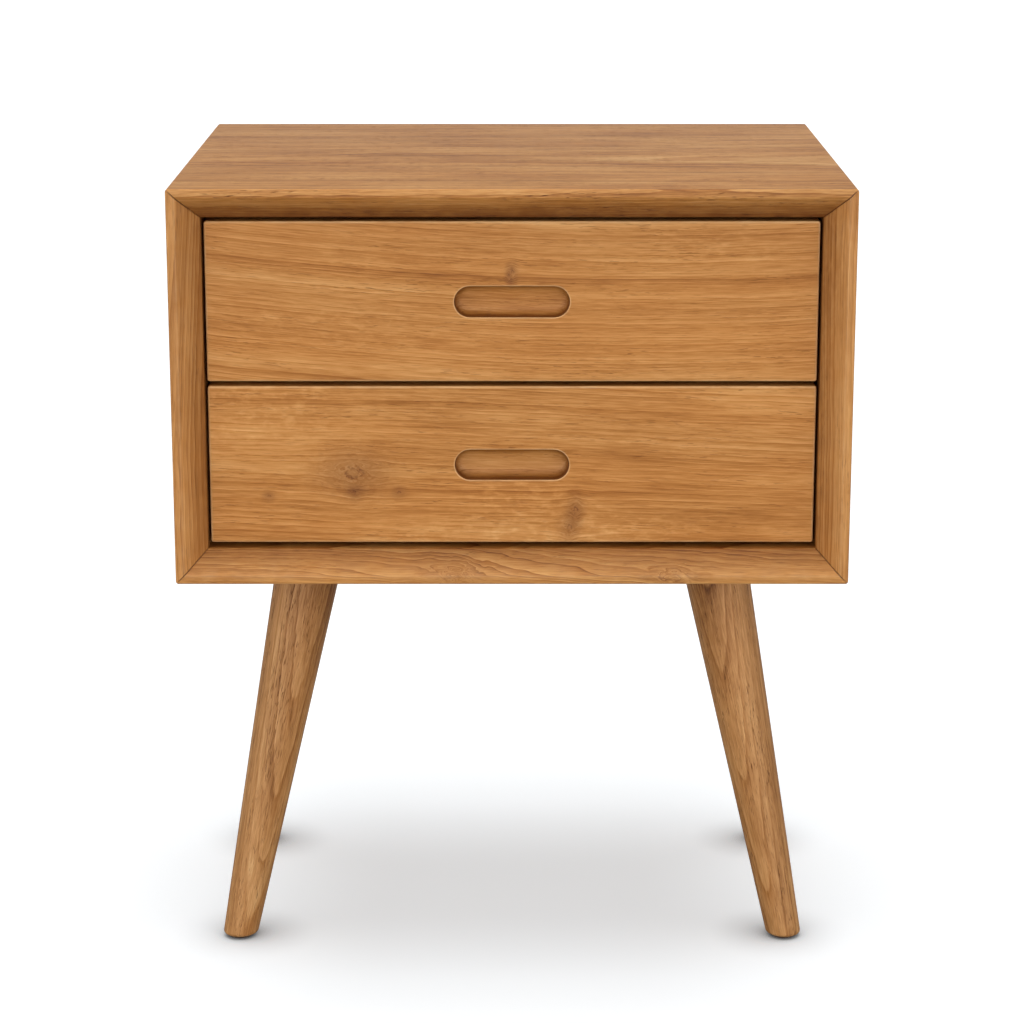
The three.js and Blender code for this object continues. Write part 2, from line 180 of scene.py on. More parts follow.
def feed(tree, node, feeds):
    """Links or sets a node's inputs."""
    for key, value in feeds.items():
        if isinstance(value, bpy.types.NodeSocket):
            tree.links.new(value, node.inputs[key])
        else:
            node.inputs[key].default_value = value


def add(tree, kind, feeds=None, **settings):
    """A new node with its settings made and its inputs fed."""
    node = tree.nodes.new(kind)
    for key, value in settings.items():
        setattr(node, key, value)
    feed(tree, node, feeds or {})
    return node


def maths(tree, operation, *feeds, clamp=False):
    node = add(tree, "ShaderNodeMath", dict(enumerate(feeds)), operation=operation, use_clamp=clamp)
    return node.outputs[0]


def vectors(tree, operation, *feeds):
    node = add(tree, "ShaderNodeVectorMath", dict(enumerate(feeds)), operation=operation)
    return node.outputs["Value" if operation == "LENGTH" else "Vector"]


def scaled(tree, vector, by):
    return add(tree, "ShaderNodeVectorMath", {0: vector, "Scale": by}, operation="SCALE").outputs[0]


def parts(tree, vector):
    return add(tree, "ShaderNodeSeparateXYZ", {0: vector}).outputs


def combined(tree, x, y, z):
    return add(tree, "ShaderNodeCombineXYZ", {0: x, 1: y, 2: z}).outputs[0]


def noise(tree, vector, scale, detail, roughness=0.5, output=0):
    return add(tree, "ShaderNodeTexNoise", {
        "Vector": vector, "Scale": scale, "Detail": detail, "Roughness": roughness,
    }).outputs[output]


def noise_along(tree, distance):
    """Soft noise along a line, as from one ring to the next."""
    return add(tree, "ShaderNodeTexNoise", {
        "W": distance, "Scale": 1.0, "Detail": 1.0,
    }, noise_dimensions="1D").outputs[0]


def chance(tree, number):
    """A fixed random value for each whole number."""
    return add(tree, "ShaderNodeTexWhiteNoise", {"W": number}, noise_dimensions="1D").outputs["Value"]


def eased(tree, value, low, high, at_low=0.0, at_high=1.0, ease="LINEAR"):
    """Goes from at_low to at_high as the value goes from low to high, and no further."""
    return add(tree, "ShaderNodeMapRange", {
        "Value": value, "From Min": low, "From Max": high, "To Min": at_low, "To Max": at_high,
    }, interpolation_type=ease).outputs[0]


def mixed(tree, share, one, two, blend="MIX"):
    return add(tree, "ShaderNodeMix", {
        0: share, 6: one, 7: two,
    }, data_type="RGBA", blend_type=blend).outputs[2]


def new_group(name, takes, gives, kind="ShaderNodeTree"):
    """A node group and its inputs. takes and gives list the names of its sockets by their kind."""
    tree = bpy.data.node_groups.new(name, kind)
    for direction, rows in (("INPUT", takes), ("OUTPUT", gives)):
        for socket_kind, titles in rows.items():
            for title in titles:
                tree.interface.new_socket(title, in_out=direction, socket_type="NodeSocket" + socket_kind)
    return tree, add(tree, "NodeGroupInput").outputs


def ramp(tree, amount, stops):
    """A colour ramp from (place, sRGB colour or grey) stops."""
    node = add(tree, "ShaderNodeValToRGB", {"Fac": amount})
    while len(node.color_ramp.elements) < len(stops):
        node.color_ramp.elements.new(0.5)
    for element, (place, colour) in zip(node.color_ramp.elements, stops):
        element.position = place
        if isinstance(colour, tuple):
            linear = [((c / 255 + 0.055) / 1.055) ** 2.4 for c in colour]
            element.color = (*linear, 1)
        else:
            element.color = (colour, colour, colour, 1)
    return node.outputs["Color"]


def new_material(name):
    """A new material, with its tree and its shader."""
    material = bpy.data.materials.new(name)
    material.use_nodes = True
    return material, material.node_tree, material.node_tree.nodes["Principled BSDF"]


def staves_group():
    """Splits a panel into glued staves: each is shifted along itself and has a seed of its own."""
    most_slide, most_tilt, seed_step, glue_width = 3.0, 0.015, 7.3, 0.0003
    tree, given = new_group("staves", {"Vector": ["Vector"], "Float": ["Width", "Start", "Seed"]},
                            {"Vector": ["Vector"], "Float": ["Seed", "Glue Line"]})
    x, y, z = parts(tree, given["Vector"])
    across = maths(tree, "DIVIDE", maths(tree, "SUBTRACT", y, given["Start"]), given["Width"])
    number = maths(tree, "FLOOR", across)
    luck = chance(tree, maths(tree, "ADD", number, given["Seed"]))
    slide = maths(tree, "MULTIPLY", luck, most_slide)
    tilt = maths(tree, "MULTIPLY_ADD", luck, 2 * most_tilt, -most_tilt)
    moved = combined(tree, maths(tree, "ADD", x, slide), maths(tree, "ADD", y, tilt),
                     maths(tree, "MULTIPLY_ADD", tilt, 0.8, z))
    edge = maths(tree, "ABSOLUTE", maths(tree, "SUBTRACT", maths(tree, "FRACT", across), 0.5))
    near = maths(tree, "MULTIPLY", maths(tree, "SUBTRACT", 0.5, edge), given["Width"])
    line = maths(tree, "SUBTRACT", 1.0, maths(tree, "DIVIDE", near, glue_width), clamp=True)
    own_seed = maths(tree, "MULTIPLY_ADD", number, seed_step, given["Seed"])
    add(tree, "NodeGroupOutput", {"Vector": moved, "Seed": own_seed, "Glue Line": line})
    return tree


def knot_group():
    """A knot that runs through the board: the grain flows round it and it is dark at its heart."""
    tree, given = new_group("knot", {"Vector": ["Vector", "Centre"], "Float": ["Radius", "Stretch"]},
                            {"Vector": ["Vector"], "Float": ["Heart"]})
    x, y, z = parts(tree, given["Vector"])
    away = vectors(tree, "SUBTRACT", given["Vector"], given["Centre"])
    away_x, away_y, _ = parts(tree, away)
    along = maths(tree, "DIVIDE", away_x, given["Stretch"])
    reach = maths(tree, "SQRT", maths(tree, "ADD", maths(tree, "MULTIPLY", along, along),
                                      maths(tree, "MULTIPLY", away_y, away_y)))
    share = maths(tree, "DIVIDE", given["Radius"], maths(tree, "MAXIMUM", reach, 1e-4))
    pushed = maths(tree, "SUBTRACT", 1.0, maths(tree, "MULTIPLY", share, share), clamp=True)
    shift = maths(tree, "MULTIPLY", away_y, maths(tree, "SUBTRACT", pushed, 1.0))
    moved = combined(tree, x, maths(tree, "ADD", y, shift), z)

    # close to the knot the grain also curls to and fro
    curls = noise(tree, vectors(tree, "MULTIPLY", away, (55.0, 130.0, 90.0)), 1.0, 2.0, output=1)
    curls = vectors(tree, "SUBTRACT", curls, (0.5, 0.5, 0.5))
    swirl = maths(tree, "MULTIPLY", maths(tree, "MULTIPLY", share, share, clamp=True), given["Radius"])
    curls = scaled(tree, curls, maths(tree, "MULTIPLY", swirl, 5.0))

    # the heart has a ragged edge, a paler core and a soft halo
    ripple = noise(tree, away, 300.0, 3.0)
    spread = maths(tree, "DIVIDE", reach, given["Radius"])
    ragged = maths(tree, "MULTIPLY_ADD", ripple, 2.2, spread)
    heart = eased(tree, ragged, 1.45, 2.2, 1.0, 0.0, "SMOOTHSTEP")
    halo = eased(tree, ragged, 1.2, 6.0, 0.42, 0.0, "SMOOTHSTEP")
    core = eased(tree, spread, 0.1, 0.6, 0.15, 1.0)
    mottle = maths(tree, "MULTIPLY", core, maths(tree, "MULTIPLY_ADD", ripple, 1.0, 0.4))
    heart = maths(tree, "MULTIPLY", heart, mottle)
    add(tree, "NodeGroupOutput", {
        "Vector": vectors(tree, "ADD", moved, curls), "Heart": maths(tree, "MAXIMUM", heart, halo),
    })
    return tree


def figure_group():
    """The figure of solid wood. X runs along the grain and the tree's pith is the X axis."""
    tree, given = new_group("wood_figure", {"Vector": ["Vector"], "Float": [
        "Seed", "Ring", "Sway", "Lines", "Pores", "Bend", "Bend Middle", "Curl", "Cloud", "Fibre",
    ]}, {"Float": ["Tone", "Pores", "Roughness", "Height", "Warmth"]})
    seed = given["Seed"]
    x, y, z = parts(tree, given["Vector"])
    from_middle = maths(tree, "SUBTRACT", x, given["Bend Middle"])
    rise = maths(tree, "MULTIPLY", maths(tree, "MULTIPLY", from_middle, from_middle), given["Bend"])
    place = combined(tree, x, maths(tree, "SUBTRACT", y, rise), z)
    offset = combined(tree, *[maths(tree, "MULTIPLY", seed, step) for step in (1.7, 3.1, 5.3)])

    def grain_noise(along, across, detail, roughness=0.5, output=0):
        stretched = vectors(tree, "MULTIPLY_ADD", place, (along, across, across), offset)
        return noise(tree, stretched, 1.0, detail, roughness, output)

    # rings about the pith, which wander as the tree grew
    slow = vectors(tree, "SUBTRACT", grain_noise(2.4, 7.0, 1.0, output=1), (0.5, 0.5, 0.5))
    quick = vectors(tree, "SUBTRACT", grain_noise(26.0, 60.0, 2.0, output=1), (0.5, 0.5, 0.5))
    slow = scaled(tree, slow, maths(tree, "MULTIPLY", given["Sway"], 2.0))
    quick = scaled(tree, quick, maths(tree, "MULTIPLY", given["Sway"], 0.24))
    wandered = vectors(tree, "ADD", vectors(tree, "ADD", place, slow), quick)
    radius = vectors(tree, "LENGTH", vectors(tree, "MULTIPLY", wandered, (0, 1, 1)))
    even = maths(tree, "DIVIDE", radius, given["Ring"])
    drift = noise_along(tree, maths(tree, "MULTIPLY_ADD", even, 0.31, seed))
    years = maths(tree, "MULTIPLY_ADD", drift, 2.6, even)
    season = maths(tree, "FRACT", years)
    late = ramp(tree, season, [(0.0, 0.35), (0.04, 0.0), (0.66, 0.04), (0.84, 0.42), (0.94, 1.0),
                               (1.0, 0.35)])
    early = ramp(tree, season, [(0.0, 0.6), (0.06, 1.0), (0.26, 0.55), (0.55, 0.0)])
    strength = chance(tree, maths(tree, "FLOOR", years))
    fade = eased(tree, grain_noise(6.0, 50.0, 2.0), 0.32, 0.60)
    weight = maths(tree, "MULTIPLY", maths(tree, "MULTIPLY_ADD", strength, 0.7, 0.3),
                   maths(tree, "MULTIPLY_ADD", fade, 0.75, 0.25))
    weight = maths(tree, "MULTIPLY", weight, given["Lines"])
    line = maths(tree, "MULTIPLY", late, weight)
    light = maths(tree, "MULTIPLY", early, weight)
    band = noise_along(tree, maths(tree, "MULTIPLY_ADD", years, 0.33, seed))

    # fibres, broad streaks, cloudy patches and small curls
    fibre = grain_noise(48.0, 950.0, 3.0, 0.6)
    streak = grain_noise(17.0, 330.0, 3.0, 0.6)
    patch = grain_noise(7.0, 22.0, 3.0, 0.55)
    curl = maths(tree, "SUBTRACT", grain_noise(120.0, 260.0, 2.0), 0.47)
    curl = maths(tree, "MULTIPLY", maths(tree, "MAXIMUM", curl, 0.0),
                 eased(tree, grain_noise(5.0, 16.0, 1.0), 0.52, 0.66))
    warmth = eased(tree, grain_noise(4.0, 31.0, 3.0), 0.38, 0.62, at_high=0.7)
    warmth = maths(tree, "ADD", warmth, line)

    # every mark makes the tone lighter or darker by its own amount
    tone = maths(tree, "MULTIPLY_ADD", band, 0.44, 0.27)
    for mark, amount in ((fibre, given["Fibre"]), (streak, 0.30), (patch, given["Cloud"])):
        tone = maths(tree, "MULTIPLY_ADD", maths(tree, "SUBTRACT", mark, 0.5), amount, tone)
    for mark, amount in ((curl, given["Curl"]), (line, -0.27), (light, 0.22)):
        tone = maths(tree, "MULTIPLY_ADD", mark, amount, tone)

    # open pores: short dark dashes, crowded in some places and sparse in others
    dash = eased(tree, grain_noise(110.0, 1700.0, 1.0), 0.62, 0.70)
    crowd = eased(tree, grain_noise(14.0, 110.0, 2.0), 0.42, 0.66)
    dash = maths(tree, "MULTIPLY", dash, maths(tree, "MULTIPLY_ADD", crowd, 0.85, 0.15))
    dash = maths(tree, "MULTIPLY", dash, given["Pores"])

    # oil dulls a little in the fibres and pores, and the pores and late rings are hollows
    rough = maths(tree, "MULTIPLY_ADD", fibre, 0.16, 0.40)
    rough = maths(tree, "MULTIPLY_ADD", dash, 0.2, rough)
    height = maths(tree, "MULTIPLY_ADD", dash, -1.0, maths(tree, "MULTIPLY", fibre, 0.5))
    height = maths(tree, "MULTIPLY_ADD", line, -0.25, height)
    add(tree, "NodeGroupOutput", {
        "Tone": tone, "Pores": dash, "Roughness": rough, "Height": height, "Warmth": warmth,
    })
    return tree


def handling_group():
    """Rubbed edges are paler and smoother, as rubbed wear and a painted highlight. Marked places are darker:
    painted shade in bevels, gaps and the pull, and the dark mitre joint lines.
    """
    # A pale tint for rubbed wear and painted highlight, a dark tint for painted shade and joint lines, and
    # smoother oil where rubbed.
    rub_and_highlight_tint, shade_and_joint_tint, polish = (0.86, 0.58, 0.30, 1), (0.34, 0.24, 0.13, 1), -0.15
    tree, given = new_group("handling", {"Color": ["Color"], "Float": ["Roughness", "Rub And Highlight", "Shade And Joint Strength"]},
                            {"Color": ["Color"], "Float": ["Roughness"]})
    rub_and_highlight_mask = add(tree, "ShaderNodeAttribute", attribute_name="wear").outputs["Fac"]
    painted_shade_and_joint_line = add(tree, "ShaderNodeAttribute", attribute_name="painted_shade_and_joint_line").outputs["Fac"]
    uneven = noise(tree, add(tree, "ShaderNodeTexCoord").outputs["Object"], 70.0, 3.0)
    rub_and_highlight_mask = maths(tree, "MULTIPLY", maths(tree, "MULTIPLY", rub_and_highlight_mask, uneven), given["Rub And Highlight"])
    painted_shade_and_joint_line = maths(tree, "MULTIPLY", painted_shade_and_joint_line, maths(tree, "MULTIPLY_ADD", uneven, 0.9, 0.55))
    painted_shade_and_joint_line = maths(tree, "MULTIPLY", painted_shade_and_joint_line, given["Shade And Joint Strength"], clamp=True)
    paler = mixed(tree, rub_and_highlight_mask, given["Color"], rub_and_highlight_tint)
    add(tree, "NodeGroupOutput", {
        "Color": mixed(tree, painted_shade_and_joint_line, paler, shade_and_joint_tint, "MULTIPLY"),
        "Roughness": maths(tree, "MULTIPLY_ADD", rub_and_highlight_mask, polish, given["Roughness"]),
    })
    return tree


staves, knot, figure, handling = staves_group(), knot_group(), figure_group(), handling_group()
teak_tones = [
    (0.00, (120, 66, 12)), (0.22, (157, 96, 30)), (0.42, (182, 120, 54)),
    (0.58, (198, 137, 71)), (0.76, (211, 154, 89)), (1.00, (228, 178, 118)),
]
warm_tint, dark_tint = (1.04, 0.93, 0.74, 1), (0.25, 0.14, 0.05, 1)
warm_share, pore_dark, glue_dark = 0.5, 0.55, 0.45


def wood(name, along, face, pith, tones, seed, ring=0.0055, sway=0.012, lines=1.0, pores=1.0,
         stave=None, knots=(), bump=0.00012, rub_and_highlight=0.5, shade_and_joint_strength=0.75, bend=0.0, bend_middle=0.0,
         curl=0.45, cloud=0.4, fibre=0.6, tone_and_light_tint=(1, 1, 1), gloss=0.35):
    """Wood for one board. along is the grain's direction, face the direction its broad face
    looks in, and pith a point on the line that the rings go round, all in the object's frame.
    stave is (width, start across the board); a knot is ((x, y, z), radius, stretch, depth)."""
    material, tree, shader = new_material(name)
    x_axis = Vector(along).normalized()
    y_axis = Vector(face).cross(x_axis).normalized()
    turn = Matrix((x_axis, y_axis, x_axis.cross(y_axis)))
    place = add(tree, "ShaderNodeMapping", {
        "Vector": add(tree, "ShaderNodeTexCoord").outputs["Object"],
        "Location": turn @ -Vector(pith),
        "Rotation": turn.to_euler(),
    }).outputs[0]
    marks = []
    for centre, radius, stretch, dark in knots:
        place, heart = add(tree, "ShaderNodeGroup", {
            "Vector": place, "Centre": turn @ (Vector(centre) - Vector(pith)), "Radius": radius,
            "Stretch": stretch,
        }, node_tree=knot).outputs
        marks.append((heart, dark))
    if stave:
        place, seed, glue = add(tree, "ShaderNodeGroup", {
            "Vector": place, "Width": stave[0], "Start": stave[1], "Seed": seed,
        }, node_tree=staves).outputs
        marks.append((glue, glue_dark))
    grain = add(tree, "ShaderNodeGroup", {
        "Vector": place, "Seed": seed, "Ring": ring, "Sway": sway, "Lines": lines, "Pores": pores,
        "Bend": bend, "Bend Middle": bend_middle, "Curl": curl, "Cloud": cloud, "Fibre": fibre,
    }, node_tree=figure).outputs
    # The tones are tinted per board: a board's own tone, and for the top and bottom boards lit and shaded
    # copies of the teak, as painted light and shade.
    light_tinted_tones = [(stop, tuple(c * k for c, k in zip(colour, tone_and_light_tint))) for stop, colour in tones]
    warm = maths(tree, "MULTIPLY", grain["Warmth"], warm_share)
    colour = mixed(tree, warm, ramp(tree, grain["Tone"], light_tinted_tones), warm_tint, "MULTIPLY")
    for mask, amount in [(grain["Pores"], pore_dark)] + marks:
        colour = mixed(tree, maths(tree, "MULTIPLY", mask, amount), colour, dark_tint, "MULTIPLY")
    handled = add(tree, "ShaderNodeGroup", {
        "Color": colour, "Roughness": grain["Roughness"], "Rub And Highlight": rub_and_highlight, "Shade And Joint Strength": shade_and_joint_strength,
    }, node_tree=handling).outputs
    relief = add(tree, "ShaderNodeBump", {"Height": grain["Height"], "Distance": bump, "Strength": 1.0})
    feed(tree, shader, {
        "Specular IOR Level": gloss, "Base Color": handled["Color"], "Roughness": handled["Roughness"],
        "Normal": relief.outputs[0],
    })
    return material


def board_mesh(length):
    """A case board lying on its outside face: x along it, y front to back, z outside to inside."""
    section = rounded(
        [(0, 0), (0, strip), (bevel_depth, board), (depth - rebate_depth, board),
         (depth - rebate_depth, board - rebate_width), (depth, board - rebate_width), (depth, 0)],
        [0.0015, 0.0022, 0.0012, 0, 0, 0.0006, 0.0030],
    )
    rings = []
    half = length / 2
    turns = [math.radians(45 * k / 4) for k in range(4, -1, -1)]
    ends = [(half - corner_radius * (1 - math.sin(t)), corner_radius * (1 - math.cos(t)), 0)
            for t in turns]
    ends += [(half - corner_radius, 0, mitre_ease), (half - board - 0.005, 0, 0)]
    for side in (-1, 1):
        for reach, lift, back in ends if side < 0 else reversed(ends):
            ring = []
            for y, z in section:
                z = max(z, lift)
                ring.append((side * min(reach, half - z - mitre_gap - back), y, z))
            rings.append(ring)
    bm = bmesh.new()
    loft(bm, rings)
    wear, painted_shade_and_joint_line = bm.verts.layers.float["wear"], bm.verts.layers.float["painted_shade_and_joint_line"]
    for vert in bm.verts:
        arris = math.hypot(vert.co.y, vert.co.z)
        lip = math.hypot(vert.co.y, vert.co.z - strip)
        # A paler band along the front arris and the strip's edge: rubbed wear and painted highlight.
        vert[wear] = 1 - min(1, arris / wear_and_highlight_width, lip / wear_and_highlight_width)
        # Painted shade grows down the bevel toward the drawers; the front of each mitre carries a dark joint
        # line.
        sunk = max(0, vert.co.z - strip) / (board - strip)
        at_mitre = half - abs(vert.co.x) - vert.co.z < 1.5 * mitre_gap
        on_front = vert.co.z > 0.0016 and vert.co.y < bevel_depth
        vert[painted_shade_and_joint_line] = mitre_dirt if at_mitre and on_front else sunk ** 2 * bevel_painted_shade
    return bm


case_middle = (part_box("side_panel_left")[0].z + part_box("side_panel_left")[1].z) / 2
case_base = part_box("bottom_panel")[0].z
case_width, case_height = cad_high.x - cad_low.x, cad_high.z - case_base
across, upward = (1, 0, 0), (0, 0, 1)
# The top's tint is a lit copy of the teak and the bottom's a darker shaded copy: painted light and shade.
# The top also has stronger painted shade on its bevel.
case_boards = {
    "top_panel": (case_width, Vector((0, cad_low.y, cad_high.z)), 2, wood(
        "teak_top", (1, 0.012, 0.02), upward, (0, -0.03, cad_high.z - 0.11), teak_tones, 3.1,
        ring=0.0036, sway=0.012, lines=1.4, pores=2.0, stave=(0.098, -0.37), rub_and_highlight=0.08, shade_and_joint_strength=1.3,
        cloud=0.8, fibre=1.0, tone_and_light_tint=(0.99, 1.0, 1.0), gloss=0.45)),
    "bottom_panel": (case_width, Vector((0, cad_low.y, case_base)), 0, wood(
        "teak_bottom", (1, 0.01, -0.03), (0, -1, 0), (0, cad_low.y + 0.03, case_base - 0.05),
        teak_tones, 8.4, ring=0.0019, sway=0.010, lines=1.8, rub_and_highlight=0.4, fibre=0.9,
        tone_and_light_tint=(0.96, 0.95, 0.88), knots=[
            ((-0.041, cad_low.y, case_base + 0.006), 0.0046, 2.2, 0.3),
            ((0.121, cad_low.y, case_base + 0.005), 0.0040, 2.2, 0.3)])),
    "side_panel_left": (case_height, Vector((cad_low.x, cad_low.y, case_middle)), 1, wood(
        "teak_left", (0.01, 0.02, 1), (-1, 0, 0), (cad_low.x + 0.05, cad_low.y + 0.03, 0), teak_tones,
        12.7, ring=0.0034, sway=0.015, lines=1.3, stave=(0.104, -0.31), rub_and_highlight=0.4, cloud=0.7)),
    "side_panel_right": (case_height, Vector((cad_high.x, cad_low.y, case_middle)), 3, wood(
        "teak_right", (-0.015, 0.012, 1), (1, 0, 0), (cad_high.x - 0.06, cad_low.y + 0.05, 0), teak_tones,
        17.9, ring=0.0036, sway=0.015, lines=1.3, stave=(0.111, -0.33), rub_and_highlight=0.4, cloud=0.7)),
}
for node, (length, corner, quarters, material) in case_boards.items():
    bm = board_mesh(length)
    bm.transform(Matrix.Translation(corner) @ Matrix.Rotation(math.radians(90) * quarters, 4, "Y"))
    make_piece(bm, "case_" + node, material, "case", node)

# ---------------------------------------------------------------- splines in the mitres
# A loose tongue of plain pale wood is glued across each mitre and stops short of the front
# and the back, so that nothing of it shows.
pale_tones = [
    (0.00, (150, 110, 70)), (0.25, (186, 148, 104)), (0.50, (208, 172, 128)),
    (0.75, (220, 188, 146)), (1.00, (232, 206, 170)),
]
tongue_wood = wood("tongue_wood", (0, 1, 0), (1, 0, 1), (0, 0, -0.05), pale_tones, 4.0, lines=0.5)
for node, shown in frame["nodes"].items():
    if node.startswith("spline_"):
        shown.material_slots[0].material = tongue_wood

# ---------------------------------------------------------------- back panel
# An 8 mm plywood sheet with a straight-grained face lies in the rebate behind the boards.
# Ten small countersunk screws hold it, and it can be taken off to reach the slides.
screw_inset, end_screw_inset = 0.005, 0.03


def softened(node, name, material, radius):
    """A piece with the shape of a CAD node and with its sharp edges rounded over."""
    bm = bmesh.new()
    bm.from_mesh(frame["nodes"][node].data)
    bmesh.ops.remove_doubles(bm, verts=bm.verts, dist=1e-5)
    bmesh.ops.dissolve_limit(bm, angle_limit=math.radians(1), verts=bm.verts, edges=bm.edges)
    corners = [edge for edge in bm.edges if edge.calc_face_angle(0) > math.radians(30)]
    bmesh.ops.bevel(bm, geom=corners, offset=radius, offset_type="OFFSET", segments=2,
                    profile=0.5, affect="EDGES", clamp_overlap=True)
    make_piece(bm, name, material, frame["nodes"][node]["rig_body"], node)


def turned(profile, sides, recess=None):
    """A mesh turned about Z from (radius, height) pairs, and with a cross recess if wanted."""
    bm = bmesh.new()
    angles = [2 * math.pi * i / sides for i in range(sides)]
    rings = [[(r * math.cos(a), r * math.sin(a), z) for a in angles] for r, z in profile]
    if recess:
        reach, half, sink = recess
        for size, z in ((1, profile[-1][1]), (0.7, profile[-1][1] - sink)):
            arm, side = reach * size, half * size
            ring = []
            for a in angles:
                cx, cy = math.cos(a), math.sin(a)
                long_way, short_way = max(abs(cx), abs(cy)), min(abs(cx), abs(cy))
                scale = min(arm / long_way, side / short_way) if short_way > 1e-6 else arm
                ring.append((cx * scale, cy * scale, z))
            rings.append(ring)
    loft(bm, rings)
    bmesh.ops.recalc_face_normals(bm, faces=bm.faces)
    mesh = bpy.data.meshes.new("turned")
    bm.to_mesh(mesh)
    bm.free()
    return mesh


def set_on_points_tree():
    """Sets one shape on every point, turned to face along the point's own facing direction."""
    tree, given = new_group("set_on_points", {
        "Geometry": ["Points"], "Object": ["Shape"], "Int": ["Seed"], "Material": ["Material"],
    }, {"Geometry": ["Mesh"]}, "GeometryNodeTree")
    facing = add(tree, "GeometryNodeInputNamedAttribute", {"Name": "facing"},
                 data_type="FLOAT_VECTOR").outputs["Attribute"]
    aligned = add(tree, "FunctionNodeAlignRotationToVector", {"Vector": facing}, axis="Z").outputs[0]
    spin = add(tree, "FunctionNodeRandomValue", {"Max": 6.28, "Seed": given["Seed"]},
               data_type="FLOAT").outputs["Value"]
    spun = add(tree, "FunctionNodeAxisAngleToRotation", {"Angle": spin}).outputs[0]
    turn = add(tree, "FunctionNodeRotateRotation", {0: aligned, 1: spun}, rotation_space="LOCAL")
    shape = add(tree, "GeometryNodeObjectInfo", {"Object": given["Shape"], "As Instance": True})
    placed = add(tree, "GeometryNodeInstanceOnPoints", {
        "Points": given["Points"], "Instance": shape.outputs["Geometry"], "Rotation": turn.outputs[0],
    })
    real = add(tree, "GeometryNodeRealizeInstances", {"Geometry": placed.outputs[0]})
    finished = add(tree, "GeometryNodeSetMaterial", {
        "Geometry": real.outputs[0], "Material": given["Material"],
    })
    add(tree, "NodeGroupOutput", {0: finished.outputs[0]})
    return tree


def grown(mesh, tree, feeds):
    """The plain mesh that a node tree makes from a mesh and its named inputs."""
    carrier = bpy.data.objects.new("carrier", mesh)
    bpy.context.collection.objects.link(carrier)
    modifier = carrier.modifiers.new("made", "NODES")
    modifier.node_group = tree
    names = {item.name: item.identifier for item in tree.interface.items_tree
             if item.in_out == "INPUT"}
    for name, value in feeds.items():
        modifier[names[name]] = value
    bpy.context.view_layer.update()
    ready = carrier.evaluated_get(bpy.context.evaluated_depsgraph_get())
    result = bpy.data.meshes.new_from_object(ready)
    bpy.data.objects.remove(carrier)
    bm = bmesh.new()
    bm.from_mesh(result)
    return bm


set_on_points = set_on_points_tree()


def repeat(name, shape, places, material, body, seed, nodes=()):
    """One piece made of a shape repeated at (place, facing) pairs, each turned by chance."""
    source = bpy.data.objects.new("shape", shape)
    points = bpy.data.meshes.new("points")
    points.from_pydata([place for place, _ in places], [], [])
    facing = points.attributes.new("facing", "FLOAT_VECTOR", "POINT")
    for value, (_, direction) in zip(facing.data, places):
        value.vector = direction
    bm = grown(points, set_on_points, {"Shape": source, "Seed": seed, "Material": material})
    bpy.data.objects.remove(source)
    piece = make_piece(bm, name, material, body)
    if nodes:
        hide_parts(*nodes)


def metal(name, colour, second, rough):
    """Plated or bare metal: a slow change of tint, rubbed patches and fine drawing lines."""
    material, tree, shader = new_material(name)
    place = add(tree, "ShaderNodeTexCoord").outputs["Object"]
    cloud = noise(tree, place, 60.0, 4.0)
    lines = noise(tree, vectors(tree, "MULTIPLY", place, (40, 700, 700)), 1.0, 3.0)
    dull = maths(tree, "MULTIPLY_ADD", cloud, 0.22, maths(tree, "MULTIPLY_ADD", lines, 0.2, rough - 0.2))
    relief = add(tree, "ShaderNodeBump", {"Height": lines, "Distance": 0.00003, "Strength": 0.6})
    feed(tree, shader, {
        "Metallic": 1, "Base Color": ramp(tree, cloud, [(0.3, colour), (0.7, second)]),
        "Roughness": dull, "Normal": relief.outputs[0],
    })
    return material


zinc = metal("zinc_plate", (176, 180, 184), (198, 200, 200), 0.34)
ply_face = wood("ply_back", upward, (0, 1, 0), (0.05, 0.17, 0), pale_tones, 22.0,
                ring=0.009, sway=0.02, lines=0.6, pores=0.6, stave=(0.23, -0.02))
softened("back_panel", "back_board", ply_face, 0.0004)
low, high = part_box("back_panel")
back_places = []
for i in range(4):
    x = low.x + end_screw_inset + (high.x - low.x - 2 * end_screw_inset) * i / 3
    back_places += [(x, z) for z in (low.z + screw_inset, high.z - screw_inset)]
for x in (low.x + screw_inset, high.x - screw_inset):
    back_places.append((x, (low.z + high.z) / 2))
small_head = turned([(0.0016, -0.006), (0.0016, -0.0019), (0.0035, -0.0001), (0.0035, 0.0001),
                     (0.0030, 0.0004)], 24, recess=(0.0017, 0.00045, 0.0011))
repeat("back_screws", small_head, [((x, high.y, z), (0, 1, 0)) for x, z in back_places],
       zinc, "case", seed=3)

# ---------------------------------------------------------------- legs
# Four turned teak cones splay out under the case. Each has a level foot with a rubbed edge, a
# level top against the case, and a bore down its middle for the hanger bolt that holds it.
foot_radius, top_radius = 0.0134, 0.02625
foot_edge, bolt_bore, bolt_depth = 0.0026, 0.0043, 0.0503
foot_place, top_place = Vector((0.217, 0.110, 0)), Vector((0.156, 0.070, 0.315))


